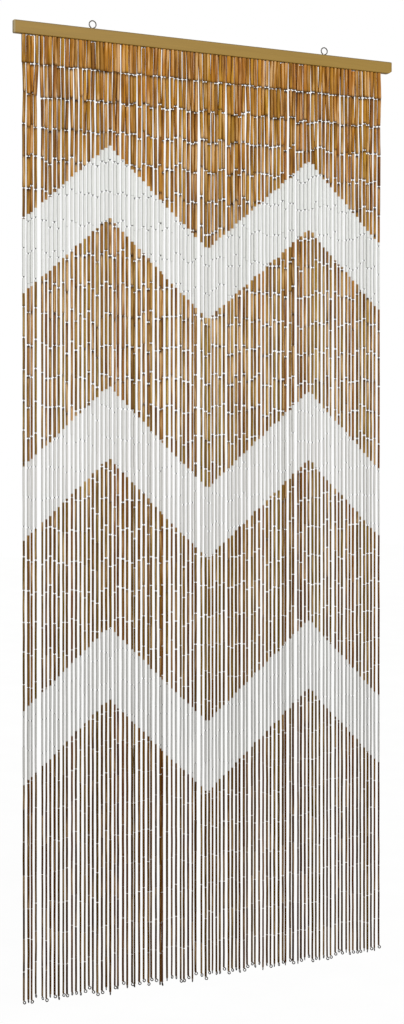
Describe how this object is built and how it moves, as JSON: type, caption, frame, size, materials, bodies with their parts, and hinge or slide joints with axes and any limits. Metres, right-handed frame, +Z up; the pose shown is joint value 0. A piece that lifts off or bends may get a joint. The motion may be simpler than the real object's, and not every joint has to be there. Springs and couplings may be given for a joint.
{
  "type": "bamboo fly curtain with wooden rail",
  "caption": "Door curtain of hanging strands of jointed bamboo tubes, painted with white zigzag bands, under a wooden rail that screw eyes hang.",
  "frame": {"origin": "on the rail's top face, midway between the two screw eyes", "axes": "+Z up, along the hanging strands; +X to the right along the rail, seen from the front; the front faces -Y"},
  "size_m": [0.896, 0.0149, 2.0321],
  "materials": {
    "rail_wood": "satin varnish, golden tan",
    "steel_wire": "drawn wire, grey",
    "bamboo": "steamed brown bamboo, white paint in three zigzag bands"
  },
  "bodies": {
    "root": {"rail": "rail_wood", "left_eye": "steel_wire", "right_eye": "steel_wire", "strands": "bamboo"}
  },
  "joints": []
}
